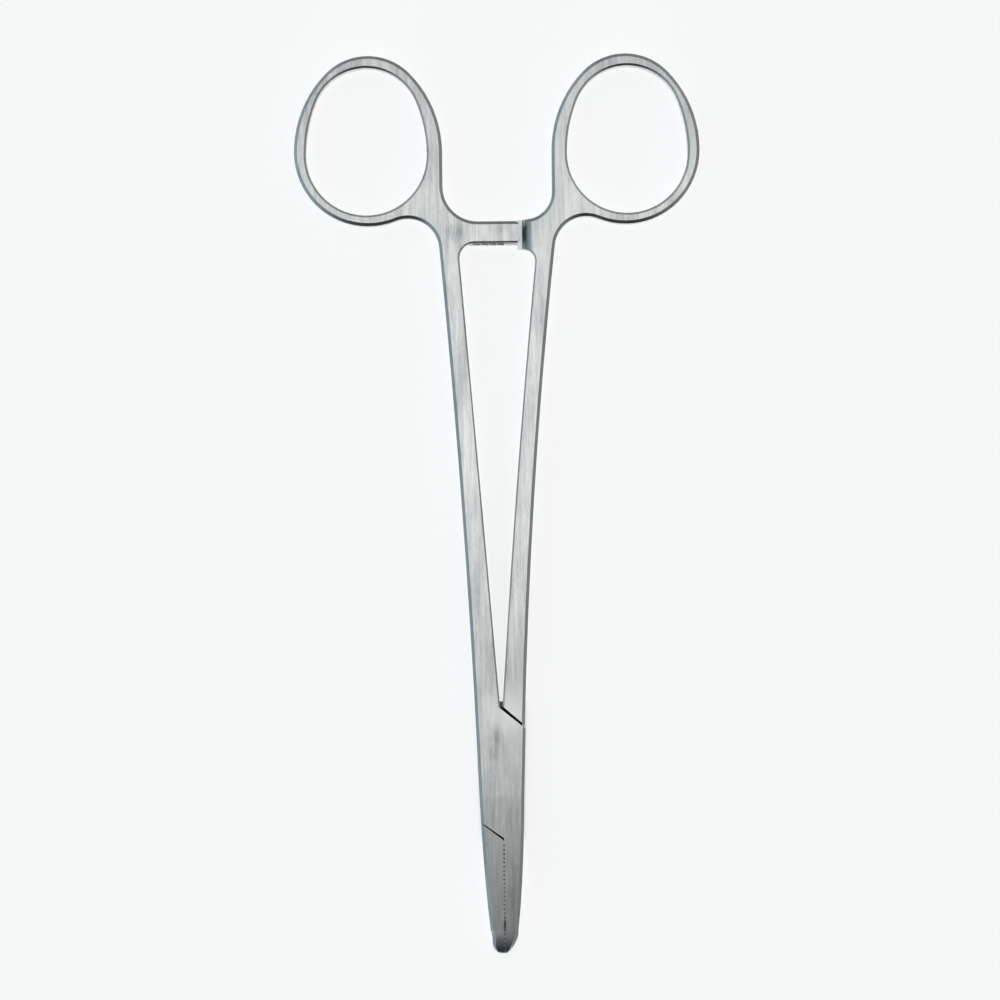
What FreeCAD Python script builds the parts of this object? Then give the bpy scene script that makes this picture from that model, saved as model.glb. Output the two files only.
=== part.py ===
import FreeCAD, Part

import math
import os

import Sketcher

# Needle holder: two forged arms crossed in a box lock and turning on one flush pin.
# Millimetres. The pivot is the Z axis. +Y runs up to the finger rings, -Y down to the jaw tips,
# +X to the side of the arm whose thin tongue passes through the box, and Z = 0 is the face
# of the box that the instrument lies on.
#
# Each arm is drawn in a frame of its own: its handle on the positive X side, its jaw on the
# negative X side, its half of the ratchet below the mid-plane, and Z = 0 at mid-thickness.

# Driving dimensions, millimetres and degrees
SIZES = {
    # Thickness, which falls from the box to the rings between two heights
    "box_half_thick": 2.85,
    "ring_half_thick": 2.1,
    "taper_above_crotch": 3.8,
    "jaw_bend": 334.0,
    "jaw_bend_start": 2.6,
    "taper_below_ring": 17.65,
    # Finger rings
    "ring_in": 10.95,
    "ring_up": 109.65,
    "ring_half_width": 14.8,
    "ring_height": 34.05,
    "ring_crown_less": 3.05,
    "ring_wall_near": 3.05,
    "ring_wall_far": 2.35,
    "ring_wall_low": 2.15,
    "ring_wall_high": 2.4,
    "bow_crown_less": 1.3,
    "ring_join_drop": 7.2,
    "outer_web": 6.3,
    # Shanks
    "box_shank_edge": 4.82,
    "box_shank_sag": 0.9,
    "box_shank_inner_sag": 0.05,
    "box_inner_top": 7.96,
    "tongue_shank_sag": 1.25,
    "tongue_shank_inner_sag": 0.45,
    "tongue_inner_top": 7.72,
    # Box lock, given on the box arm with its handle on the positive side
    "box_low": 4.4,
    "box_far_low": 4.16,
    "box_far_high": 4.56,
    "box_far_top": 8.95,
    "crotch_in": 0.5,
    "crotch_high": 13.05,
    "shoulder_in": 0.02,
    "shoulder_in_gap": 0.4,
    "shoulder_out": 4.42,
    "shoulder_out_gap": 0.7,
    "mouth_apex": 12.9,
    "mouth_side": 9.45,
    "jaw_apex_gap": 0.45,
    "jaw_side_gap": 0.4,
    "jaw_neck": 4.6,
    "tongue_tilt": 10.8,
    "tongue_half_width": 2.3,
    "tongue_half_thick": 1.15,
    "tongue_lap": 0.45,
    "opening_angle": 60.0,
    "stop_margin": 0.6,
    # Pin
    "pin_half_width": 1.4,
    "pin_head_half_width": 1.85,
    # Clearances
    "slot_face_gap": 0.05,
    "slot_side_gap": 0.1,
    "pin_running_gap": 0.03,
    "pin_seat_gap": 0.01,
    "jaw_gap": 0.06,
    "bar_gap": 0.1,
    "bar_end_gap": 1.0,
    "scoop_gap": 0.2,
    # Ratchet bars, their tops measured from the ring's lowest point
    "box_bar_rise": 0.75,
    "box_bar_depth": 4.3,
    "box_bar_reach": 4.7,
    "box_bar_end_round": 2.9,
    "box_bar_web": 7.0,
    "box_bar_fillet": 3.0,
    "tongue_bar_rise": 0.55,
    "tongue_bar_depth": 4.45,
    "tongue_bar_reach": 5.8,
    "tongue_bar_web": 5.5,
    "tongue_bar_fillet": 2.4,
    "block_end": 3.95,
    "block_over": 0.5,
    "block_under": 0.95,
    "scoop_round": 2.2,
    "ratchet_clear": 3.45,
    "tooth_pitch": 1.6,
    "tooth_land": 0.16,
    "tooth_depth": 0.55,
    "tooth_lead": 0.8,
    "tooth_count": 4.0,
    # Jaws: steps from the shoulder to the tip, with the widths at each, and the half thickness
    # from the nose on, where the long bend of the faces ends
    "shoulder_to_root": 0.6,
    "root_right": 3.92,
    "root_left": 4.31,
    "root_to_middle": 9.5,
    "middle_right": 3.44,
    "middle_left": 3.64,
    "middle_to_front": 8.0,
    "front_right": 2.7,
    "front_left": 2.84,
    "front_to_nose": 2.5,
    "nose_thick": 1.29,
    "nose_right": 2.1,
    "nose_left": 2.46,
    "nose_to_beak": 1.6,
    "beak_thick": 0.8,
    "beak_right": 1.0,
    "beak_left": 1.9,
    "beak_to_tip": 0.5,
    "tip_thick": 0.42,
    "tip_right": 0.4,
    "tip_left": 1.05,
    # Jaw serrations
    "groove_pitch": 0.85,
    "groove_depth": 0.2,
    "groove_margin": 0.4,
    # Bevels along the edges: width in plan and drop
    "edge_bevel": 0.62,
    "edge_drop": 0.4,
    "inner_bevel": 0.32,
    "inner_drop": 0.24,
    "bow_bevel": 0.42,
    "bow_drop": 0.32,
    "tip_bevel": 0.25,
    "tip_drop": 0.2,
    # How far cuts run on past what they cut
    "cut_spare": 3.0,
}

doc = FreeCAD.newDocument("needle_holder")
sheet = doc.addObject("Spreadsheet::Sheet", "sizes")
for row, (alias, value) in enumerate(SIZES.items(), start=1):
    sheet.set(f"A{row}", alias.replace("_", " "))
    sheet.set(f"B{row}", str(value))
    sheet.setAlias(f"B{row}", alias)
doc.recompute()


class Size:
    """A length or ratio: its number, and the sheet formula that the document keeps."""

    def __init__(self, value, text):
        self.value = value
        self.text = text

    def __add__(self, other):
        other = size(other)
        return Size(self.value + other.value, f"({self.text} + {other.text})")

    def __sub__(self, other):
        other = size(other)
        return Size(self.value - other.value, f"({self.text} - {other.text})")

    def __mul__(self, other):
        other = size(other)
        return Size(self.value * other.value, f"({self.text} * {other.text})")

    def __truediv__(self, other):
        other = size(other)
        return Size(self.value / other.value, f"({self.text} / {other.text})")

    def __neg__(self):
        return Size(-self.value, f"(0 - {self.text})")

    __radd__ = __add__
    __rmul__ = __mul__


def size(source):
    """A Size from a sheet alias, a number or a Size."""
    if isinstance(source, Size):
        return source
    if isinstance(source, str):
        return Size(float(sheet.get(source)), f"sizes.{source}")
    return Size(float(source), str(float(source)))


def root(inner):
    return Size(math.sqrt(inner.value), f"sqrt({inner.text})")


def sine(angle):
    return Size(math.sin(math.radians(angle.value)), f"sin({angle.text})")


def cosine(angle):
    return Size(math.cos(math.radians(angle.value)), f"cos({angle.text})")


def whole(inner):
    return Size(math.floor(inner.value), f"floor({inner.text})")


def bind(feature, name, value):
    feature.setExpression(name, value.text)


def arc_radius(start, end, sag):
    """Radius of the arc that stands off its chord by sag."""
    across = end[0] - start[0]
    along = end[1] - start[1]
    chord_squared = across * across + along * along
    return (chord_squared / 4 + sag * sag) / (sag * 2)


# Sketches
def origin_item(body, role):
    for feature in body.Origin.OriginFeatures:
        if feature.Role == role:
            return feature
    raise ValueError(role)


def new_sketch(body, name, role, offset=None):
    """A sketch on one of the body's own planes, moved along the plane's normal by offset."""
    sketch = body.newObject("Sketcher::SketchObject", f"{body.Name}_{name}")
    sketch.AttachmentSupport = [(origin_item(body, role), "")]
    sketch.MapMode = "FlatFace"
    if offset is not None:
        sketch.AttachmentOffset = FreeCAD.Placement(FreeCAD.Vector(0, 0, offset.value), FreeCAD.Rotation())
        bind(sketch, ".AttachmentOffset.Base.z", offset)
    return sketch


def pin_point(sketch, geometry, end, point):
    """Hold one end of an edge at a point measured from the sketch origin."""
    for kind, value in zip(("DistanceX", "DistanceY"), point):
        index = sketch.addConstraint(Sketcher.Constraint(kind, -1, 1, geometry, end, value.value))
        bind(sketch, f"Constraints[{index}]", value)


def arc_between(start, end, radius, turn):
    """Arc of less than half a circle from start to end; turn is 1 for anticlockwise, -1 for clockwise."""
    a = FreeCAD.Vector(start[0].value, start[1].value, 0)
    b = FreeCAD.Vector(end[0].value, end[1].value, 0)
    half = (b - a).Length / 2
    rise = math.sqrt(max(radius.value ** 2 - half ** 2, 0.0))
    along = (b - a).normalize()
    left = FreeCAD.Vector(-along.y, along.x, 0)
    crown = (a + b) * 0.5 - left * ((radius.value - rise) * turn)
    return Part.Arc(a, crown, b)


def draw_outline(sketch, corners):
    """Closed outline. Each corner is (point, edge), and the edge to the next corner is
    None for a line or (radius, turn) for an arc."""
    geometries = []
    ends = []
    for index, (start, edge) in enumerate(corners):
        end = corners[(index + 1) % len(corners)][0]
        if edge is None:
            line = Part.LineSegment(
                FreeCAD.Vector(start[0].value, start[1].value, 0),
                FreeCAD.Vector(end[0].value, end[1].value, 0),
            )
            geometries.append(sketch.addGeometry(line, False))
            ends.append((1, 2))
        else:
            arc = arc_between(start, end, edge[0], edge[1])
            geometries.append(sketch.addGeometry(arc, False))
            # An arc is always kept anticlockwise, so a clockwise one is joined by its other end
            ends.append((1, 2) if edge[1] > 0 else (2, 1))
    for index, (start, edge) in enumerate(corners):
        following = (index + 1) % len(corners)
        sketch.addConstraint(
            Sketcher.Constraint(
                "Coincident", geometries[index], ends[index][1], geometries[following], ends[following][0]
            )
        )
        pin_point(sketch, geometries[index], ends[index][0], start)
        if edge is not None:
            number = sketch.addConstraint(Sketcher.Constraint("Radius", geometries[index], edge[0].value))
            bind(sketch, f"Constraints[{number}]", edge[0])
    return sketch


def draw_circle(sketch, radius):
    circle = Part.Circle(FreeCAD.Vector(0, 0, 0), FreeCAD.Vector(0, 0, 1), radius.value)
    number = sketch.addGeometry(circle, False)
    sketch.addConstraint(Sketcher.Constraint("Coincident", number, 3, -1, 1))
    index = sketch.addConstraint(Sketcher.Constraint("Radius", number, radius.value))
    bind(sketch, f"Constraints[{index}]", radius)
    return sketch


# Features
def pad(body, name, sketch, length):
    feature = body.newObject("PartDesign::Pad", f"{body.Name}_{name}")
    feature.Profile = sketch
    feature.SideType = "Symmetric"
    bind(feature, "Length", length)
    doc.recompute()
    return feature


def pocket(body, name, sketch, length):
    """Cut on both sides of the sketch by half the length, and make sure that it cuts."""
    before = body.Shape.Volume
    feature = body.newObject("PartDesign::Pocket", f"{body.Name}_{name}")
    feature.Profile = sketch
    feature.SideType = "Symmetric"
    bind(feature, "Length", length)
    doc.recompute()
    if body.Shape.Volume >= before:
        raise RuntimeError(f"{name} cuts nothing")
    return feature


def repeat(body, name, feature, axis, backwards, pitch, count):
    pattern = body.newObject("PartDesign::LinearPattern", f"{body.Name}_{name}")
    pattern.Originals = [feature]
    pattern.Direction = (origin_item(body, axis), [""])
    pattern.Reversed = backwards
    bind(pattern, "Length", pitch * (count - 1))
    bind(pattern, "Occurrences", count)
    body.Tip = pattern
    doc.recompute()


def nearest_edge(shape, point):
    """Name of the edge that passes nearest to a point, and the place on it that is nearest."""
    probe = Part.Vertex(FreeCAD.Vector(*point))
    found = [edge.distToShape(probe) for edge in shape.Edges]
    best = min(range(len(found)), key=lambda i: found[i][0])
    return f"Edge{best + 1}", found[best][1][0][0]


def round_edges(body, name, radius, points):
    """Round the edges that pass nearest to the given points, and all that run on smoothly from them."""
    base = body.Tip
    feature = body.newObject("PartDesign::Fillet", f"{body.Name}_{name}")
    feature.Base = (base, sorted({nearest_edge(base.Shape, point)[0] for point in points}))
    bind(feature, "Radius", radius)
    doc.recompute()
    if "Invalid" in feature.State or feature.Shape.isNull():
        raise RuntimeError(f"{name} failed")
    return feature


def flatness(shape, place):
    """Upright part of the normal of the face nearest to a place: 1 for a level face, 0 for a wall."""
    probe = Part.Vertex(place)
    face = min(shape.Faces, key=lambda one: one.distToShape(probe)[0])
    u, v = face.Surface.parameter(place)
    return abs(face.normalAt(u, v).z)


def bevel_edges(body, name, stem, points):
    """Bevel the edge of the upper face and of the lower face that pass nearest to the two points, and
    all that run on smoothly from them. The width lies in plan and the drop on the side wall."""
    width = size(f"{stem}_bevel")
    drop = size(f"{stem}_drop")
    slant = math.hypot(width.value, drop.value)
    for side, point in zip(("upper", "lower"), points):
        base = body.Tip
        edge, corner = nearest_edge(base.Shape, point)
        feature = body.newObject("PartDesign::Chamfer", f"{body.Name}_{name}_{side}")
        feature.Base = (base, [edge])
        feature.ChamferType = "Two distances"
        bind(feature, "Size", width)
        bind(feature, "Size2", drop)
        doc.recompute()
        if "Invalid" in feature.State or feature.Shape.isNull():
            raise RuntimeError(f"{name} failed")
        # The first distance can fall on either face of the edge, so the slope tells which it took
        level = flatness(feature.Shape, corner)
        if abs(level - drop.value / slant) < abs(level - width.value / slant):
            feature.FlipDirection = True
            doc.recompute()


def through():
    """Length of a cut that passes right through the thickest part."""
    return (size("box_half_thick") + size("cut_spare")) * 2


# Ring, with the handle on the positive side as in all outlines below
def ring_centre():
    return size("ring_in") + size("ring_half_width")


def ring_high():
    return size("ring_up") + size("ring_height")


def ring_join():
    """Point where the shank's outer edge meets the ring."""
    half_width = size("ring_half_width")
    drop = size("ring_join_drop")
    across = ring_centre() - root(half_width * half_width - drop * drop)
    return (across, size("ring_up") + half_width - drop)


def bow_centre():
    return ring_centre() + (size("ring_wall_near") - size("ring_wall_far")) / 2


def bow_high():
    return ring_high() - size("ring_wall_high")


def egg(centre, low, high, half_width, crown):
    """Half circle below, two long side arcs and a crown arc, all tangent: the corners up the outer
    side and over the crown, then the inner side and the lowest point."""
    bottom = low + half_width
    top = high - crown
    rise = top - bottom
    side = (half_width * half_width + rise * rise - crown * crown) / ((half_width - crown) * 2)
    reach = crown * (side - half_width) / (side - crown)
    height = top + crown * rise / (side - crown)
    corners = [
        ((centre + half_width, bottom), (side, 1)),
        ((centre + reach, height), (crown, 1)),
        ((centre - reach, height), (side, 1)),
    ]
    return corners, (centre - half_width, bottom), (centre, low)


def ring_opening(body):
    half_width = size("ring_half_width") - (size("ring_wall_near") + size("ring_wall_far")) / 2
    crown = half_width - size("bow_crown_less")
    low = size("ring_up") + size("ring_wall_low")
    corners, inner, lowest = egg(bow_centre(), low, bow_high(), half_width, crown)
    path = corners + [(inner, (half_width, 1)), (lowest, (half_width, 1))]
    pocket(body, "bow_cut", draw_outline(new_sketch(body, "bow", "XY_Plane"), path), through())


# Handle
def handle_sketch(body, base, sag, bar, inner_top, inner_base, inner_sag, lower_edge):
    """Ring, shank and ratchet bar in one outline."""
    half_width = size("ring_half_width")
    crown = half_width - size("ring_crown_less")
    corners, inner, lowest = egg(ring_centre(), size("ring_up"), ring_high(), half_width, crown)
    join = ring_join()
    path = [
        (base, (arc_radius(base, join, sag), -1)),
        (join, (half_width, 1)),
        (lowest, (half_width, 1)),
    ]
    path += corners
    path.append((inner, None))
    path += bar
    path.append((inner_top, (arc_radius(inner_base, inner_top, inner_sag), 1)))
    path.append((inner_base, None))
    path += lower_edge
    return draw_outline(new_sketch(body, "outline", "XY_Plane"), path)


def bent_thick(down):
    """Half thickness of the box or the jaw at a distance below the pivot, on the long bend that
    starts below the pin."""
    bend = size("jaw_bend")
    along = down - size("jaw_bend_start")
    return size("box_half_thick") - (bend - root(bend * bend - along * along))


def side_profile(body):
    """Cut the thickness down to the rings along two long tangent arcs, and start the long bend that
    thins the box off towards the jaws."""
    thick = size("box_half_thick")
    thin = size("ring_half_thick")
    low = size("crotch_high") + size("taper_above_crotch")
    high = size("ring_up") - size("taper_below_ring")
    far = ring_high() + size("cut_spare")
    above = thick + size("cut_spare")
    down = -size("box_low")
    flat = -size("jaw_bend_start")
    run = high - low
    fall = thick - thin
    bend = (run * run + fall * fall) / (fall * 4)
    width = (ring_centre() + size("ring_half_width") + size("cut_spare")) * 2
    for name, side in (("top_profile", 1), ("bottom_profile", -1)):
        path = [
            ((down, bent_thick(-down) * side), (size("jaw_bend"), -side)),
            ((flat, thick * side), None),
            ((low, thick * side), (bend, -side)),
            ((low + run / 2, (thin + fall / 2) * side), (bend, side)),
            ((high, thin * side), None),
            ((far, thin * side), None),
            ((far, above * side), None),
            ((down, above * side), None),
        ]
        pocket(body, f"{name}_cut", draw_outline(new_sketch(body, name, "YZ_Plane"), path), width)


def plan_webs(body, bar_high, web, inner_top, fillet):
    """Webs in plan where the ring, the bar and the shank meet."""
    join = ring_join()
    round_edges(body, "outer_web", size("outer_web"), [(join[0].value, join[1].value, 0)])
    round_edges(body, "bar_web", web, [(size("ring_in").value, bar_high.value, 0)])
    round_edges(body, "bar_fillet", fillet, [(inner_top[0].value, inner_top[1].value, 0)])


def faces(point, half_thick):
    """The same plan point on the upper and the lower face."""
    return [(point[0].value, point[1].value, side * half_thick.value) for side in (1, -1)]


def bevel_handle(body, inner_point):
    """Bevel the ring, shank and bar edges on both faces."""
    thin = size("ring_half_thick")
    bevel_edges(body, "outer_edge", "edge", faces((ring_centre(), ring_high()), thin))
    bevel_edges(body, "bow_edge", "bow", faces((bow_centre(), bow_high()), thin))
    bevel_edges(body, "inner_edge", "inner", faces(inner_point, thin))


def ratchet_face(body, wall, reach, bar_low, bar_high, scoop=None):
    """Free the mid-plane face of the bar. With a scoop radius, the wall beside it swells up to the
    arm's outer face and runs out level there."""
    floor = -size("bar_gap") / 2
    top = size("box_half_thick") + size("cut_spare")
    face = size("ring_half_thick")
    clear = -(reach + size("cut_spare"))
    path = [((clear, floor), None)]
    if scoop is None:
        path.append(((wall, floor), None))
    else:
        fall = scoop - (face - floor)
        path.append(((wall, floor), (scoop, -1)))
        wall = wall + root(scoop * scoop - fall * fall)
        path.append(((wall, face), None))
    path += [((wall, top), None), ((clear, top), None)]
    sketch = draw_outline(new_sketch(body, "ratchet_face", "XZ_Plane", -(bar_low + bar_high) / 2), path)
    pocket(body, "ratchet_face_cut", sketch, bar_high - bar_low + size("ratchet_clear") * 2)


def ratchet_teeth(body, end, bar_low, bar_high):
    """Saw teeth across the bar, counted from its free end."""
    pitch = size("tooth_pitch")
    floor = -size("bar_gap") / 2
    start = size("tooth_lead") - end
    foot = start + pitch - size("tooth_land")
    path = [((start, floor), None), ((foot, floor - size("tooth_depth")), None), ((foot, floor), None)]
    sketch = draw_outline(new_sketch(body, "tooth", "XZ_Plane", -(bar_low + bar_high) / 2), path)
    notch = pocket(body, "tooth_cut", sketch, bar_high - bar_low + size("cut_spare"))
    repeat(body, "teeth", notch, "X_Axis", False, pitch, size("tooth_count"))


# Jaws
def jaw_apex():
    return size("mouth_apex") + size("jaw_apex_gap")


def jaw_root():
    return jaw_apex() + size("shoulder_to_root")


def jaw_tip():
    steps = ("root_to_middle", "middle_to_front", "front_to_nose", "nose_to_beak", "beak_to_tip")
    down = jaw_root()
    for step in steps:
        down = down + size(step)
    return down


def jaw_station(body, name, down, thick, near, far, bevel):
    """Section of the jaw at one distance below the pivot, near wide on the jaw's own side. The other
    side is as wide as far and bevelled too, or it is the flat parting face where far is None."""
    width, drop = bevel
    low = drop - thick
    high = thick - drop
    path = [((-near, low), None), ((width - near, -thick), None)]
    if far is None:
        face = -size("jaw_gap") / 2
        path += [((face, -thick), None), ((face, thick), None)]
    else:
        path += [((far - width, -thick), None), ((far, low), None)]
        path += [((far, high), None), ((far - width, thick), None)]
    path += [((width - near, thick), None), ((-near, high), None)]
    return draw_outline(new_sketch(body, name, "XZ_Plane", down), path)


def loft(body, name, sketches):
    feature = body.newObject("PartDesign::AdditiveLoft", f"{body.Name}_{name}")
    feature.Profile = sketches[0]
    feature.Sections = sketches[1:]
    feature.Ruled = False
    doc.recompute()


def jaw_blank(body, near, far):
    """Blank from the box down to the tip, in a long loft and a short one for the nose. near and far
    are left, right or None."""
    necks = {"right": size("box_far_low"), "left": size("box_shank_edge"), None: None}
    edge = (size("edge_bevel"), size("edge_drop"))
    inner = (size("inner_bevel"), size("inner_drop"))
    tip = (size("tip_bevel"), size("tip_drop"))
    low = size("box_low")
    sketches = [jaw_station(body, "neck", low, bent_thick(low), necks[near], necks[far], edge)]
    down = jaw_root()
    stations = (
        ("root", "root_to_middle", edge),
        ("middle", "middle_to_front", edge),
        ("front", "front_to_nose", edge),
        ("nose", "nose_to_beak", edge),
        ("beak", "beak_to_tip", inner),
        ("tip", None, tip),
    )
    for stem, step, bevel in stations:
        thick = size(f"{stem}_thick") if stem in ("nose", "beak", "tip") else bent_thick(down)
        far_width = None if far is None else size(f"{stem}_{far}")
        sketches.append(jaw_station(body, stem, down, thick, size(f"{stem}_{near}"), far_width, bevel))
        if step is not None:
            down = down + size(step)
    loft(body, "jaw", sketches[:4])
    loft(body, "nose_end", sketches[3:])


def vee(face, middle, depth):
    """Right-angled notch into the jaw face, its middle at the given height."""
    return [
        ((face + depth, middle + depth * 2), None),
        ((face - depth, middle), None),
        ((face + depth, middle - depth * 2), None),
    ]


def jaw_grooves(body):
    """Cross grooves and lengthwise grooves that leave rows of small pyramids on the jaw face."""
    pitch = size("groove_pitch")
    depth = size("groove_depth")
    face = -size("jaw_gap") / 2
    start = jaw_root() + size("groove_margin")
    end = jaw_tip() + size("cut_spare")
    sketch = draw_outline(new_sketch(body, "cross_groove", "XY_Plane"), vee(face, -start, depth))
    groove = pocket(body, "cross_groove_cut", sketch, through())
    count = whole((jaw_tip() - start) / pitch)
    repeat(body, "cross_grooves", groove, "Y_Axis", True, pitch, count)
    count = whole((bent_thick(jaw_root()) - depth) * 2 / pitch)
    lowest = -(pitch * (count - 1) / 2)
    sketch = new_sketch(body, "long_groove", "XZ_Plane", (start + end) / 2)
    draw_outline(sketch, vee(face, lowest, depth))
    groove = pocket(body, "long_groove_cut", sketch, end - start)
    repeat(body, "long_grooves", groove, "Z_Axis", False, pitch, count)


# Pin
def pin_profile(body, half_width, head, half_thick):
    """Half section of the pin or of its hole, with a countersunk head at each face."""
    sink = head - half_width
    path = [
        ((size(0), -half_thick), None),
        ((head, -half_thick), None),
        ((half_width, sink - half_thick), None),
        ((half_width, half_thick - sink), None),
        ((head, half_thick), None),
        ((size(0), half_thick), None),
    ]
    return draw_outline(new_sketch(body, "pin_section", "XZ_Plane"), path)


def turn_profile(body, kind, name, sketch):
    feature = body.newObject(kind, f"{body.Name}_{name}")
    feature.Profile = sketch
    feature.ReferenceAxis = (sketch, ["V_Axis"])
    feature.Angle = 360.0
    doc.recompute()
    return feature


def check(feature):
    """Stop on a failed object or an empty or faulty shape."""
    for item in doc.Objects:
        if "Invalid" in item.State or "Error" in item.State:
            raise RuntimeError(f"{item.Name} failed: {item.State}")
    shape = feature.Shape
    if shape.isNull() or not shape.isValid() or len(shape.Solids) != 1:
        raise RuntimeError(f"{feature.Label} is not one valid solid")


def place(body, turned):
    """Stand the piece on the face of the box. A turned piece is swung half round the Y axis."""
    spin = FreeCAD.Rotation(FreeCAD.Vector(0, 1, 0), 180 if turned else 0)
    body.Placement = FreeCAD.Placement(FreeCAD.Vector(0, 0, size("box_half_thick").value), spin)
    bind(body, ".Placement.Base.z", size("box_half_thick"))


def new_body(name):
    body = doc.addObject("PartDesign::Body", name)
    body.Label = name
    return body


# Box arm
def make_box_arm():
    body = new_body("box_arm")
    bar_high = size("ring_up") + size("box_bar_rise")
    bar_low = bar_high - size("box_bar_depth")
    half_depth = size("box_bar_depth") / 2
    end_round = size("box_bar_end_round")
    reach = size("box_bar_reach")
    end = reach - (end_round - root(end_round * end_round - half_depth * half_depth))
    bar = [
        ((size("ring_in"), bar_high), None),
        ((-end, bar_high), (end_round, 1)),
        ((-end, bar_low), None),
    ]
    inner_top = (size("box_inner_top"), bar_low)
    crotch = (size("crotch_in"), size("crotch_high"))
    base = (size("box_shank_edge"), -size("box_low"))
    lower_edge = [
        ((-size("box_far_high"), size("box_far_top")), None),
        ((-size("box_far_low"), -size("box_low")), None),
    ]
    sketch = handle_sketch(
        body, base, size("box_shank_sag"), bar, inner_top, crotch, size("box_shank_inner_sag"), lower_edge
    )
    pad(body, "blank", sketch, size("box_half_thick") * 2)
    plan_webs(body, bar_high, size("box_bar_web"), inner_top, size("box_bar_fillet"))
    side_profile(body)
    ring_opening(body)
    bevel_handle(body, (size(0), bar_low))
    far_edge = (-(size("box_far_low") + size("box_far_high")) / 2, size(0))
    bevel_edges(body, "box_edge", "edge", faces(far_edge, size("box_half_thick")))
    jaw_blank(body, "right", "left")
    box_mouth(body)
    tongue_slot(body)
    hole = pin_profile(
        body, size("pin_half_width"), size("pin_head_half_width"), size("box_half_thick")
    )
    turn_profile(body, "PartDesign::Groove", "pin_hole", hole)
    wall = size("tongue_bar_reach") + size("bar_end_gap")
    ratchet_face(body, wall, reach, bar_low, bar_high)
    ratchet_teeth(body, end, bar_low, bar_high)
    jaw_grooves(body)
    place(body, True)
    return body


def box_mouth(body):
    """Cut the other arm's jaw out of the blank, up to the lower shoulder and the parting line."""
    face = -size("jaw_gap") / 2
    side = size("box_shank_edge")
    beyond = side + size("cut_spare")
    below = -(jaw_tip() + size("cut_spare"))
    slope = (size("mouth_apex") - size("mouth_side")) / (side - face)
    path = [
        ((face, -size("mouth_apex")), None),
        ((face, below), None),
        ((beyond, below), None),
        ((beyond, slope * (beyond - face) - size("mouth_apex")), None),
    ]
    pocket(body, "mouth_cut", draw_outline(new_sketch(body, "mouth", "XY_Plane"), path), through())


def tongue_slot(body):
    """Space that the tongue sweeps through from closed to fully open; what is left of the middle
    layer at its two inner corners are the stops."""
    closed = size("tongue_tilt")
    opened = closed + size("opening_angle") + size("stop_margin")
    half_turn = (opened - closed) / 2
    reach = shoulder_high() + size("box_shank_edge")
    corner = (size("tongue_half_width") + size("slot_side_gap")) / cosine(half_turn)
    tilt = closed + half_turn
    stop = (corner * cosine(tilt), corner * sine(tilt))
    closed_way = (-(reach * sine(closed)), reach * cosine(closed))
    opened_way = (-(reach * sine(opened)), reach * cosine(opened))
    path = [
        (stop, None),
        ((stop[0] + closed_way[0], stop[1] + closed_way[1]), None),
        ((-stop[0] + opened_way[0], -stop[1] + opened_way[1]), None),
        ((-stop[0], -stop[1]), None),
        ((-stop[0] - closed_way[0], -stop[1] - closed_way[1]), None),
        ((stop[0] - opened_way[0], stop[1] - opened_way[1]), None),
    ]
    sketch = draw_outline(new_sketch(body, "slot", "XY_Plane"), path)
    pocket(body, "slot_cut", sketch, (size("tongue_half_thick") + size("slot_face_gap")) * 2)


# Tongue arm
def shoulder_high():
    return size("crotch_high") + size("shoulder_in_gap")


def shoulder_low():
    return size("box_far_top") + size("shoulder_out_gap")


def jaw_side():
    return size("mouth_side") + size("jaw_side_gap")


def make_tongue_arm():
    body = new_body("tongue_arm")
    jaw_blank(body, "left", None)
    jaw_shoulder(body)
    tongue(body)
    bar_high = size("ring_up") + size("tongue_bar_rise")
    bar_low = bar_high - size("tongue_bar_depth")
    block_high = bar_high + size("block_over")
    block_low = bar_low - size("block_under")
    block_end = size("block_end")
    reach = size("tongue_bar_reach")
    bar = [
        ((size("ring_in"), block_high), None),
        ((block_end, block_high), None),
        ((block_end, bar_high), None),
        ((-reach, bar_high), None),
        ((-reach, bar_low), None),
        ((block_end, bar_low), None),
        ((block_end, block_low), None),
    ]
    inner_top = (size("tongue_inner_top"), block_low)
    inner_base = (size("shoulder_in"), shoulder_high())
    base = (size("shoulder_out"), shoulder_low())
    inner_sag = size("tongue_shank_inner_sag")
    sketch = handle_sketch(body, base, size("tongue_shank_sag"), bar, inner_top, inner_base, inner_sag, [])
    pad(body, "blank", sketch, size("box_half_thick") * 2)
    plan_webs(body, block_high, size("tongue_bar_web"), inner_top, size("tongue_bar_fillet"))
    side_profile(body)
    ring_opening(body)
    bevel_handle(body, (inner_top[0], block_low - size("tongue_bar_fillet") * 2))
    foot = size("box_bar_reach") + size("scoop_gap")
    ratchet_face(body, foot, reach, bar_low, bar_high, size("scoop_round"))
    ratchet_teeth(body, reach, bar_low, bar_high)
    running_fit = size("pin_half_width") + size("pin_running_gap")
    pocket(body, "bore_cut", draw_circle(new_sketch(body, "bore", "XY_Plane"), running_fit), through())
    jaw_grooves(body)
    place(body, False)
    return body


def jaw_shoulder(body):
    """End the jaw at its shoulder, just clear of the box's lower edge."""
    face = -size("jaw_gap") / 2
    neck = size("jaw_neck")
    beyond = neck + size("cut_spare")
    slope = (jaw_apex() - jaw_side()) / (neck + face)
    past_face = face + size("cut_spare")
    path = [
        ((past_face, -jaw_apex()), None),
        ((past_face, size(0)), None),
        ((-beyond, size(0)), None),
        ((-beyond, slope * (beyond + face) - jaw_apex()), None),
        ((face, -jaw_apex()), None),
    ]
    sketch = draw_outline(new_sketch(body, "jaw_shoulder", "XY_Plane"), path)
    pocket(body, "jaw_shoulder_cut", sketch, through())


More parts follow.
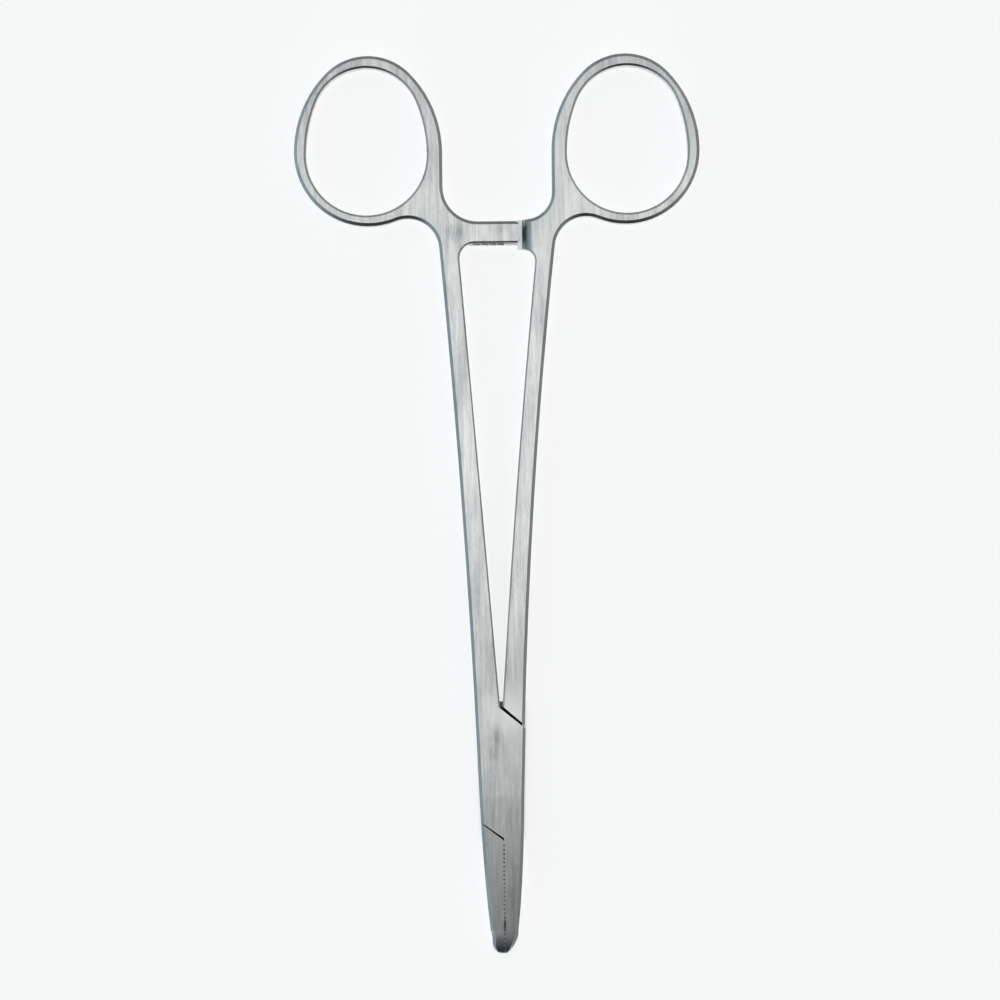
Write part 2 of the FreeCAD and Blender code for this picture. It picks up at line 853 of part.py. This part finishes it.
def tongue(body):
    """Thin band through the box, lapped into the shank above and the jaw below."""
    tilt = size("tongue_tilt")
    half = size("tongue_half_width")

    def along(across, up):
        return across * sine(tilt) + up * cosine(tilt) + size("tongue_lap")

    def corner(side, way, reach):
        return (
            half * cosine(tilt) * side + reach * sine(tilt) * way,
            reach * cosine(tilt) * way - half * sine(tilt) * side,
        )

    path = [
        (corner(1, 1, along(size("shoulder_out"), shoulder_low())), None),
        (corner(-1, 1, along(size("shoulder_in"), shoulder_high())), None),
        (corner(-1, -1, along(size("jaw_neck"), jaw_side())), None),
        (corner(1, -1, along(size("jaw_gap") / 2, jaw_apex())), None),
    ]
    sketch = draw_outline(new_sketch(body, "tongue", "XY_Plane"), path)
    pad(body, "tongue_band", sketch, size("tongue_half_thick") * 2)


# Pivot pin
def make_pivot_pin():
    body = new_body("pivot_pin")
    gap = size("pin_seat_gap")
    section = pin_profile(
        body, size("pin_half_width") - gap, size("pin_head_half_width") - gap, size("box_half_thick")
    )
    turn_profile(body, "PartDesign::Revolution", "turned", section)
    place(body, False)
    return body


pieces = [make_box_arm(), make_tongue_arm(), make_pivot_pin()]
doc.recompute()
for piece in pieces:
    check(piece)
os.makedirs("parts", exist_ok=True)
for piece in pieces:
    piece.Shape.exportStep(f"parts/{piece.Label}.step")
    print(piece.Label, round(piece.Shape.Volume, 1), "mm3")
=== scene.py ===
import math

import bpy
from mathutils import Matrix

# Needle holder in brushed steel, lying on a pale sheet under a broad soft lamp

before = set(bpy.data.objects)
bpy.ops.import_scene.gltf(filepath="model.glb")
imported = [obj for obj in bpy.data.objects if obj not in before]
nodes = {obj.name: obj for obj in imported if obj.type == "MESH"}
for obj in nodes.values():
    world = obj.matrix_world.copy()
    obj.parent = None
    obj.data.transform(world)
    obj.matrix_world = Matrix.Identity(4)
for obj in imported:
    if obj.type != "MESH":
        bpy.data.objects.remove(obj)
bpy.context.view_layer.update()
print("frame loaded:", ", ".join(sorted(nodes)))

mm = 0.001


# camera

cameraValues = {
    "centre": (-0.09 * mm, 54.66 * mm),  # what the middle of the picture looks at
    "height": 803.5 * mm,
    "viewWidth": 200.2 * mm,  # across the picture, at the middle of the arms
    "armMiddle": 3.5 * mm,
    "roll": -0.0105,
    "sensorWidth": 36,
    "clipStart": 0.01,
    "clipEnd": 20,
}


def makeCamera(values):
    camera = bpy.data.cameras.new("camera")
    camera.sensor_width = values["sensorWidth"]
    reach = values["height"] - values["armMiddle"]
    camera.lens = values["sensorWidth"] * reach / values["viewWidth"]
    camera.clip_start = values["clipStart"]
    camera.clip_end = values["clipEnd"]
    holder = bpy.data.objects.new("camera", camera)
    holder.location = (*values["centre"], values["height"])
    holder.rotation_euler = (0, 0, values["roll"])
    bpy.context.scene.collection.objects.link(holder)
    bpy.context.scene.camera = holder


makeCamera(cameraValues)
bpy.context.scene.view_settings.view_transform = "Standard"
print("camera placed")


# nodes that the steel, the sheet and the room are made with

def emptyTree(owner):
    owner.use_nodes = True
    owner.node_tree.nodes.clear()
    return owner.node_tree


def linkOutput(tree, kind, result):
    tree.links.new(result, tree.nodes.new(kind).inputs[0])


def mathNode(tree, operation, first, second=None):
    node = tree.nodes.new("ShaderNodeMath")
    node.operation = operation
    for socket, value in zip(node.inputs, (first, second)):
        if value is None:
            continue
        if isinstance(value, (int, float)):
            socket.default_value = value
        else:
            tree.links.new(value, socket)
    return node.outputs[0]


def multiplied(tree, first, *others):
    for other in others:
        first = mathNode(tree, "MULTIPLY", first, other)
    return first


def added(tree, first, *others):
    for other in others:
        first = mathNode(tree, "ADD", first, other)
    return first


def largest(tree, first, *others):
    for other in others:
        first = mathNode(tree, "MAXIMUM", first, other)
    return first


def vectorMath(tree, operation, first, second=None):
    node = tree.nodes.new("ShaderNodeVectorMath")
    node.operation = operation
    tree.links.new(first, node.inputs[0])
    if second is not None:
        tree.links.new(second, node.inputs[1])
    return node.outputs


def splitNode(tree, vector):
    node = tree.nodes.new("ShaderNodeSeparateXYZ")
    tree.links.new(vector, node.inputs[0])
    return node.outputs


def eased(tree, value, limits, ends):
    node = tree.nodes.new("ShaderNodeMapRange")
    node.interpolation_type = "SMOOTHSTEP"
    tree.links.new(value, node.inputs["Value"])
    for label, number in zip(("From Min", "From Max", "To Min", "To Max"), (*limits, *ends)):
        node.inputs[label].default_value = number
    return node.outputs["Result"]


def rising(tree, value, limits):
    return eased(tree, value, limits, (0.0, 1.0))


def falling(tree, value, limits):
    return eased(tree, value, limits, (1.0, 0.0))


def colourMix(tree, factor, first, second, clamped=True):
    node = tree.nodes.new("ShaderNodeMix")
    node.data_type = "RGBA"
    node.clamp_factor = clamped
    tree.links.new(factor, node.inputs["Factor"])
    for label, colour in (("A", first), ("B", second)):
        if isinstance(colour, tuple):
            node.inputs[label].default_value = (*colour, 1)
        else:
            tree.links.new(colour, node.inputs[label])
    return node.outputs["Result"]


def stretchedNoise(tree, vector, stretch, detail, roughness, turn=0.0):
    place = tree.nodes.new("ShaderNodeMapping")
    tree.links.new(vector, place.inputs["Vector"])
    place.inputs["Rotation"].default_value = (0, 0, turn)
    place.inputs["Scale"].default_value = stretch
    noise = tree.nodes.new("ShaderNodeTexNoise")
    tree.links.new(place.outputs["Vector"], noise.inputs["Vector"])
    noise.inputs["Scale"].default_value = 1.0
    noise.inputs["Detail"].default_value = detail
    noise.inputs["Roughness"].default_value = roughness
    return noise.outputs["Fac"]


# node groups shared by the steel finishes

def newGroup(name, inputs, outputs):
    group = bpy.data.node_groups.new(name, "ShaderNodeTree")
    for label, kind, value in inputs:
        socket = group.interface.new_socket(name=label, in_out="INPUT", socket_type=kind)
        if value is not None:
            socket.default_value = value
    for label, kind in outputs:
        group.interface.new_socket(name=label, in_out="OUTPUT", socket_type=kind)
    return group, group.nodes.new("NodeGroupInput"), group.nodes.new("NodeGroupOutput")


grainValues = {  # each noise: repeats per metre across, along and through, detail, roughness, turn
    "hair": ((9000, 260, 3000), 3.0, 0.6),
    "band": ((1500, 70, 900), 2.0, 0.55),
    "nick": ((5200, 900, 2500), 2.0, 0.5, 0.05),
    "average": 0.5,  # of a noise, taken off so that streaks go both ways
    "nickTone": 0.35,
    "nickHeight": 0.6,
}


def brushedGrain(values):
    # streaks of the last belt, running along the arm: hairlines, broad soft bands and short nicks
    group, given, made = newGroup(
        "brushedGrain",
        [
            ("Vector", "NodeSocketVector", None),
            ("Hairlines", "NodeSocketFloat", 0.5),
            ("Bands", "NodeSocketFloat", 0.5),
        ],
        [("Tone", "NodeSocketFloat"), ("Height", "NodeSocketFloat")],
    )
    place = given.outputs["Vector"]
    hair, band, nick = (
        stretchedNoise(group, place, *values[streak]) for streak in ("hair", "band", "nick")
    )
    strengths = (given.outputs["Hairlines"], given.outputs["Bands"], values["nickTone"])
    tones = [
        multiplied(group, mathNode(group, "SUBTRACT", streak, values["average"]), strength)
        for streak, strength in zip((hair, band, nick), strengths)
    ]
    group.links.new(added(group, *tones), made.inputs["Tone"])
    height = added(group, hair, multiplied(group, nick, values["nickHeight"]))
    group.links.new(height, made.inputs["Height"])
    return group


cloudValues = {
    "wide": ((190, 75, 120), 3.0, 0.55),
    "wideRange": (0.36, 0.68),
    "small": ((900, 500, 700), 4.0, 0.6),
    "smallRange": (0.6, 0.78),
}


def handlingCloud(values):
    # cloudy marks from handling and washing, in two sizes
    group, given, made = newGroup(
        "handlingCloud",
        [("Vector", "NodeSocketVector", None)],
        [("Cloud", "NodeSocketFloat"), ("Spots", "NodeSocketFloat")],
    )
    for size, label in (("wide", "Cloud"), ("small", "Spots")):
        noise = stretchedNoise(group, given.outputs["Vector"], *values[size])
        group.links.new(rising(group, noise, values[size + "Range"]), made.inputs[label])
    return group


def softSpot():
    # one mark at a chosen place, full in its middle and gone at its half sizes
    group, given, made = newGroup(
        "softSpot",
        [
            ("Vector", "NodeSocketVector", None),
            ("Place", "NodeSocketVector", (0, 0, 0)),
            ("Stretch", "NodeSocketVector", (1, 1, 1)),
        ],
        [("Mask", "NodeSocketFloat")],
    )
    away = vectorMath(group, "SUBTRACT", given.outputs["Vector"], given.outputs["Place"])[0]
    shaped = vectorMath(group, "MULTIPLY", away, given.outputs["Stretch"])[0]
    length = vectorMath(group, "LENGTH", shaped)["Value"]
    group.links.new(falling(group, length, (0.0, 1.0)), made.inputs["Mask"])
    return group


gapValues = {  # lengths in mm
    "lockHalfWidth": 3.85,
    "shoulderSlope": 0.81,  # fall of the upper shoulder line across the box
    "shoulderBand": (12.4, 13.6),  # heights that this line spans at the pivot
    "mouthSlope": 0.711,
    "mouthBand": (-13.5, -12.7),
    "teethHalfWidth": 0.25,
    "grooveStart": (0.035, 0.07),  # from the bright crest of a tooth to the dark of its groove
    "teethTop": -13.5,
    "middle": 2.85,  # height of the tongue, which lies this deep inside the box
    "tongueHalf": 1.35,
    "fade": 0.12,
    "wallTurn": (0.35, 0.55),  # how level a face still counts as a wall
    "toothTurn": (0.80, 0.95),  # and as the side of a tooth
}


def gapShade(values):
    # painted shade in narrow gaps: along the two shoulder lines and in the grooves of the jaws
    group, given, made = newGroup(
        "gapShade", [("Vector", "NodeSocketVector", None)], [("Mask", "NodeSocketFloat")]
    )
    sideways, along, up = splitNode(group, given.outputs["Vector"])
    across = mathNode(group, "ABSOLUTE", sideways)
    facing = splitNode(group, group.nodes.new("ShaderNodeTexCoord").outputs["Normal"])
    levelness = mathNode(group, "ABSOLUTE", facing["Z"])
    wall = falling(group, levelness, values["wallTurn"])
    toothFace = falling(group, levelness, values["toothTurn"])

    def below(value, limit):
        return falling(group, value, (limit * mm, (limit + values["fade"]) * mm))

    def above(value, limit):
        return rising(group, value, ((limit - values["fade"]) * mm, limit * mm))

    def band(slope, limits):
        level = added(group, along, multiplied(group, sideways, slope))
        return multiplied(group, above(level, limits[0]), below(level, limits[1]))

    shoulderLine = band(values["shoulderSlope"], values["shoulderBand"])
    mouthLine = band(values["mouthSlope"], values["mouthBand"])
    lines = largest(group, shoulderLine, mouthLine)
    offMiddle = mathNode(group, "SUBTRACT", up, values["middle"] * mm)
    offMiddle = mathNode(group, "ABSOLUTE", offMiddle)
    deep = largest(group, wall, below(offMiddle, values["tongueHalf"]))
    lock = multiplied(group, lines, below(across, values["lockHalfWidth"]), deep)
    grooved = rising(group, across, tuple(edge * mm for edge in values["grooveStart"]))
    teeth = multiplied(
        group,
        below(across, values["teethHalfWidth"]),
        below(along, values["teethTop"]),
        grooved,
        toothFace,
    )
    group.links.new(largest(group, lock, teeth), made.inputs["Mask"])
    return group


groups = {
    "brushedGrain": brushedGrain(grainValues),
    "handlingCloud": handlingCloud(cloudValues),
    "softSpot": softSpot(),
    "gapShade": gapShade(gapValues),
}
print("finish groups ready:", ", ".join(groups))


# steel finishes

armSteel = {
    "bright": (0.765, 0.790, 0.783),
    "dull": (0.42, 0.455, 0.46),
    "shaded": (0.03, 0.034, 0.036),  # painted shade in the gaps
    "hairlines": 0.55,
    "bands": 0.75,
    "darkening": 0.12,  # everywhere, from bright at 0 to dull at 1
    "grainDullness": 1.5,
    "cloudDullness": 0.30,
    "spotDullness": 0.18,
    "markScale": 2.2,
    "markStreaks": 2.5,  # how much the grain breaks up a mark
    "roughness": 0.30,
    "dullRoughness": 0.08,
    "gapRoughness": 0.4,
    "leastRoughness": 0.08,
    "bumpDepth": 0.0000035,
    "marks": (  # place in mm, half sizes in mm, strength: dull above 0 and brighter below
        ((-1.3, 7.4, 5.7), (1.7, 3.4, 2.0), 0.27),
        ((-1.9, 4.0, 5.7), (1.5, 2.2, 2.0), 0.16),
        ((-8.7, 108.2, 4.95), (2.4, 3.0, 2.0), 0.22),
        ((-6.9, 104.2, 4.95), (0.5, 1.4, 2.0), 0.20),
        ((0.9, 108.9, 4.95), (2.2, 1.6, 2.0), 0.13),
        ((1.9, -25.0, 4.4), (2.4, 14.0, 3.0), 0.16),
        # painted shade along the steep scoop of the ratchet block beside the bar's end
        ((5.6, 107.2, 3.2), (1.1, 9.0, 3.4), 0.75),
        ((0.8, 12.0, 5.7), (6.5, 8.5, 3.0), -0.26),
        ((0.0, -7.5, 5.3), (6.5, 6.5, 3.0), 0.09),
        # painted shade: darker at the tips of the jaws
        ((0.0, -36.2, 3.0), (4.0, 4.2, 4.0), 0.42),
    ),
}

pinSteel = {**armSteel, "marks": ()}


def groupNode(tree, name, vector):
    node = tree.nodes.new("ShaderNodeGroup")
    node.node_tree = groups[name]
    tree.links.new(vector, node.inputs["Vector"])
    return node


def steelMaterial(name, values):
    material = bpy.data.materials.new(name)
    tree = emptyTree(material)
    shader = tree.nodes.new("ShaderNodeBsdfPrincipled")
    linkOutput(tree, "ShaderNodeOutputMaterial", shader.outputs[0])
    shader.inputs["Metallic"].default_value = 1.0

    place = tree.nodes.new("ShaderNodeTexCoord").outputs["Object"]
    grain = groupNode(tree, "brushedGrain", place)
    grain.inputs["Hairlines"].default_value = values["hairlines"]
    grain.inputs["Bands"].default_value = values["bands"]
    tone = grain.outputs["Tone"]
    cloud = groupNode(tree, "handlingCloud", place)

    darkening = added(
        tree,
        multiplied(tree, tone, -values["grainDullness"]),
        multiplied(tree, cloud.outputs["Cloud"], values["cloudDullness"]),
        multiplied(tree, cloud.outputs["Spots"], values["spotDullness"]),
    )
    streaky = added(tree, multiplied(tree, tone, -values["markStreaks"]), 1.0)
    # marks: smudges, and painted shade at the ratchet scoop and at the jaw tips
    for centre, half, strength in values["marks"]:
        spot = groupNode(tree, "softSpot", place)
        spot.inputs["Place"].default_value = tuple(c * mm for c in centre)
        spot.inputs["Stretch"].default_value = tuple(1 / (h * mm) for h in half)
        strength *= values["markScale"]
        markAndPaintedShade = multiplied(tree, spot.outputs["Mask"], streaky, strength)
        darkening = added(tree, darkening, markAndPaintedShade)
    darkening = added(tree, darkening, values["darkening"])

    colour = colourMix(tree, darkening, values["bright"], values["dull"], clamped=False)
    # painted shade: the gap mask darkens the steel towards the shaded colour in the lock's gaps
    # and the jaws' grooves
    paintedGapShade = groupNode(tree, "gapShade", place).outputs["Mask"]
    colour = colourMix(tree, paintedGapShade, colour, values["shaded"])
    tree.links.new(colour, shader.inputs["Base Color"])

    rough = added(
        tree,
        multiplied(tree, darkening, values["dullRoughness"]),
        values["roughness"],
        multiplied(tree, paintedGapShade, values["gapRoughness"]),
    )
    tree.links.new(largest(tree, rough, values["leastRoughness"]), shader.inputs["Roughness"])

    bump = tree.nodes.new("ShaderNodeBump")
    bump.inputs["Strength"].default_value = 1.0
    bump.inputs["Distance"].default_value = values["bumpDepth"]
    tree.links.new(grain.outputs["Height"], bump.inputs["Height"])
    tree.links.new(bump.outputs["Normal"], shader.inputs["Normal"])
    return material


def dress(node, material):
    for slot in node.material_slots:
        slot.material = material
    if not node.material_slots:
        node.data.materials.append(material)


armMaterial = steelMaterial("brushedArmSteel", armSteel)
pinMaterial = steelMaterial("brushedPinSteel", pinSteel)
dress(nodes["box_arm"], armMaterial)
dress(nodes["tongue_arm"], armMaterial)
dress(nodes["pivot_pin"], pinMaterial)
print("steel finishes on")


# sheet under the object

sheetValues = {
    "size": 3.0,
    "place": (0, 0.05, -0.00005),
    "colour": (0.80, 0.80, 0.80),
    "glow": 0.68,
    "gapReach": 0.006,  # how near walls on all sides put the sheet in the dark
    # painted shadow: in these areas the sheet's glow is taken away where walls close in
    "gapAreas": (  # half width, start and end along the object, openness from dark to light
        (0.0052, -0.0136, 0.0142, (0.38, 0.54)),  # shoulder lines of the lock
        (0.0006, -0.0364, -0.0130, (0.60, 0.85)),  # line between the jaws
    ),
}


def makeSheet(values):
    half = values["size"] / 2
    corners = [(-half, -half, 0), (half, -half, 0), (half, half, 0), (-half, half, 0)]
    mesh = bpy.data.meshes.new("sheet")
    mesh.from_pydata(corners, [], [(0, 1, 2, 3)])
    sheet = bpy.data.objects.new("sheet", mesh)
    sheet.location = values["place"]
    bpy.context.scene.collection.objects.link(sheet)
    material = bpy.data.materials.new("paleSheet")
    tree = emptyTree(material)
    diffuse = tree.nodes.new("ShaderNodeBsdfDiffuse")
    diffuse.inputs["Color"].default_value = (*values["colour"], 1)
    glow = tree.nodes.new("ShaderNodeEmission")
    path = tree.nodes.new("ShaderNodeLightPath").outputs
    seen = largest(
        tree, path["Is Camera Ray"], path["Is Glossy Ray"], path["Is Transmission Ray"]
    )
    # painted shadow on the sheet's glow, under the shoulder lines of the lock and between the jaws
    gapFinder = tree.nodes.new("ShaderNodeAmbientOcclusion")
    gapFinder.inputs["Distance"].default_value = values["gapReach"]
    position = tree.nodes.new("ShaderNodeNewGeometry").outputs["Position"]
    across, along, up = splitNode(tree, position)
    fromMiddle = mathNode(tree, "ABSOLUTE", across)
    gaps = [
        multiplied(
            tree,
            falling(tree, gapFinder.outputs["AO"], openness),
            mathNode(tree, "LESS_THAN", fromMiddle, halfWidth),
            mathNode(tree, "GREATER_THAN", along, start),
            mathNode(tree, "LESS_THAN", along, end),
        )
        for halfWidth, start, end, openness in values["gapAreas"]
    ]
    lit = mathNode(tree, "SUBTRACT", 1.0, largest(tree, *gaps))
    tree.links.new(multiplied(tree, seen, lit, values["glow"]), glow.inputs["Strength"])
    both = tree.nodes.new("ShaderNodeAddShader")
    tree.links.new(diffuse.outputs[0], both.inputs[0])
    tree.links.new(glow.outputs[0], both.inputs[1])
    linkOutput(tree, "ShaderNodeOutputMaterial", both.outputs[0])
    mesh.materials.append(material)


# lamp over the object

lampValues = {
    "size": (0.36, 0.25),
    "place": (0.0, 0.093, 0.60),
    "glow": 0.93,
}


def makeLamp(values):
    width, depth = values["size"]
    light = bpy.data.lights.new("softLamp", "AREA")
    light.shape = "RECTANGLE"
    light.size = width
    light.size_y = depth
    light.energy = values["glow"] * math.pi * width * depth
    holder = bpy.data.objects.new("softLamp", light)
    holder.location = values["place"]
    holder.visible_camera = False
    bpy.context.scene.collection.objects.link(holder)


# room around it, which the bevels and walls mirror

roomValues = {  # colours, and the parts of each direction from -1 to 1 over which they blend
    "leftSide": (0.255, 0.365, 0.410),
    "rightSide": (0.205, 0.215, 0.205),
    "leftToRight": (-0.5, 0.5),
    "frontSide": (0.012, 0.017, 0.019),
    "backSide": (0.070, 0.095, 0.100),
    "frontToBack": (-0.2, 0.2),
    "sideAcross": (0.22, 0.60),
    "sideAlong": (0.60, 0.92),
    "horizon": (0.40, 0.40, 0.40),
    "horizonUp": (0.20, 0.35),
    "horizonAlong": (-0.95, -0.80),
    "overhead": (0.34, 0.34, 0.34),
    "overheadUp": (0.60, 0.80),
    "overheadAlong": (-0.44, -0.27),
}


def makeRoom(values):
    world = bpy.data.worlds.new("room")
    bpy.context.scene.world = world
    tree = emptyTree(world)
    direction = tree.nodes.new("ShaderNodeTexCoord").outputs["Generated"]
    across, along, up = splitNode(tree, direction)

    leftToRight = rising(tree, across, values["leftToRight"])
    frontToBack = rising(tree, along, values["frontToBack"])
    sides = colourMix(tree, leftToRight, values["leftSide"], values["rightSide"])
    ends = colourMix(tree, frontToBack, values["frontSide"], values["backSide"])
    sideways = multiplied(
        tree,
        rising(tree, mathNode(tree, "ABSOLUTE", across), values["sideAcross"]),
        falling(tree, mathNode(tree, "ABSOLUTE", along), values["sideAlong"]),
    )
    around = colourMix(tree, sideways, ends, sides)
    low = multiplied(
        tree,
        falling(tree, up, values["horizonUp"]),
        rising(tree, along, values["horizonAlong"]),
    )
    around = colourMix(tree, low, around, values["horizon"])
    high = multiplied(
        tree,
        rising(tree, up, values["overheadUp"]),
        rising(tree, along, values["overheadAlong"]),
    )
    whole = colourMix(tree, high, around, values["overhead"])

    background = tree.nodes.new("ShaderNodeBackground")
    tree.links.new(whole, background.inputs["Color"])
    background.inputs["Strength"].default_value = 1.0
    linkOutput(tree, "ShaderNodeOutputWorld", background.outputs[0])


makeSheet(sheetValues)
makeLamp(lampValues)
makeRoom(roomValues)
print("sheet, lamp and room ready")
